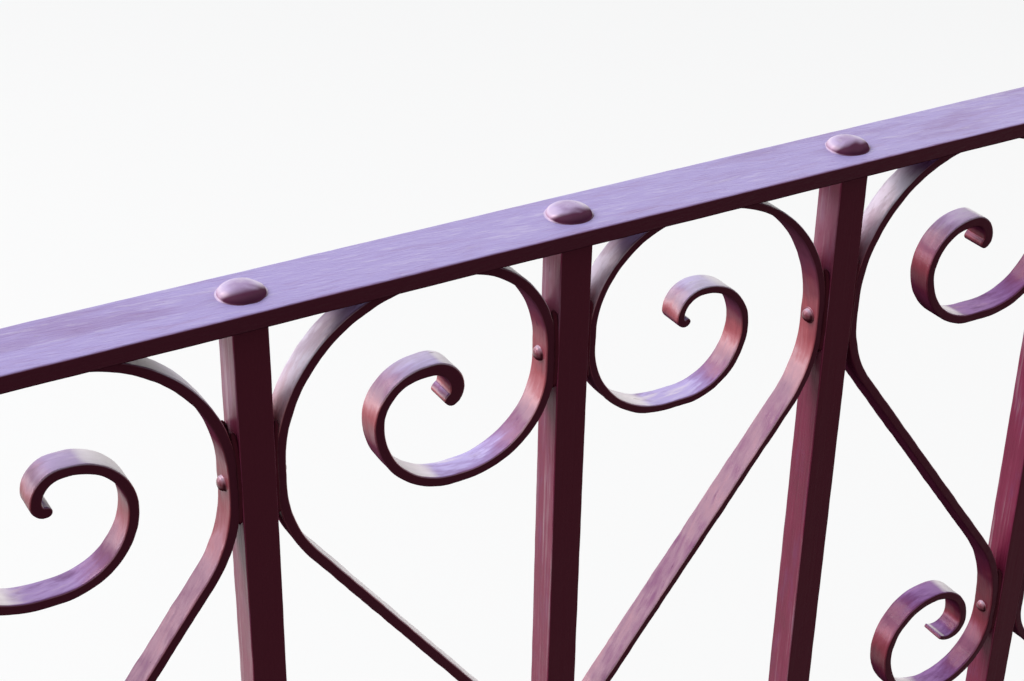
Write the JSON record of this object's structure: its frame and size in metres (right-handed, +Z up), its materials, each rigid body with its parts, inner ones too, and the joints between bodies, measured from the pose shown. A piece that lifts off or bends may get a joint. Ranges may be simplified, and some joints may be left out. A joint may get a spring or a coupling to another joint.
{
  "type": "balcony railing",
  "caption": "Painted wrought-iron balcony railing: flat rails, riveted uprights, S-shaped strap scrolls in mirrored bays and bolted foot plates.",
  "frame": {"origin": "centre of the middle foot plate's underside, where it stands on the slab", "axes": "+X along the rails to the right as the picture shows them, +Y across the rails away from the viewer, +Z up"},
  "size_m": [1.02, 0.07, 0.9221],
  "materials": {
    "rail_paint": "semi-gloss",
    "iron_paint": "semi-gloss"
  },
  "bodies": {
    "root": {"top_rail": "rail_paint", "bottom_rail": "rail_paint", "top_tenon_heads": "iron_paint", "bottom_tenon_heads": "iron_paint", "bar_1": "iron_paint", "bar_2": "iron_paint", "bar_3": "iron_paint", "bar_4": "iron_paint", "bar_5": "iron_paint", "bar_6": "iron_paint", "bar_7": "iron_paint", "upper_scroll_1": "iron_paint", "upper_scroll_2": "iron_paint", "upper_scroll_3": "iron_paint", "upper_scroll_4": "iron_paint", "upper_scroll_5": "iron_paint", "upper_scroll_6": "iron_paint", "lower_scroll_1": "iron_paint", "lower_scroll_2": "iron_paint", "lower_scroll_3": "iron_paint", "lower_scroll_4": "iron_paint", "lower_scroll_5": "iron_paint", "lower_scroll_6": "iron_paint", "rivets_1": "iron_paint", "rivets_2": "iron_paint", "rivets_3": "iron_paint", "rivets_4": "iron_paint", "rivets_5": "iron_paint", "rivets_6": "iron_paint", "rivets_7": "iron_paint", "foot_1": "iron_paint", "foot_2": "iron_paint", "foot_3": "iron_paint"}
  },
  "joints": []
}
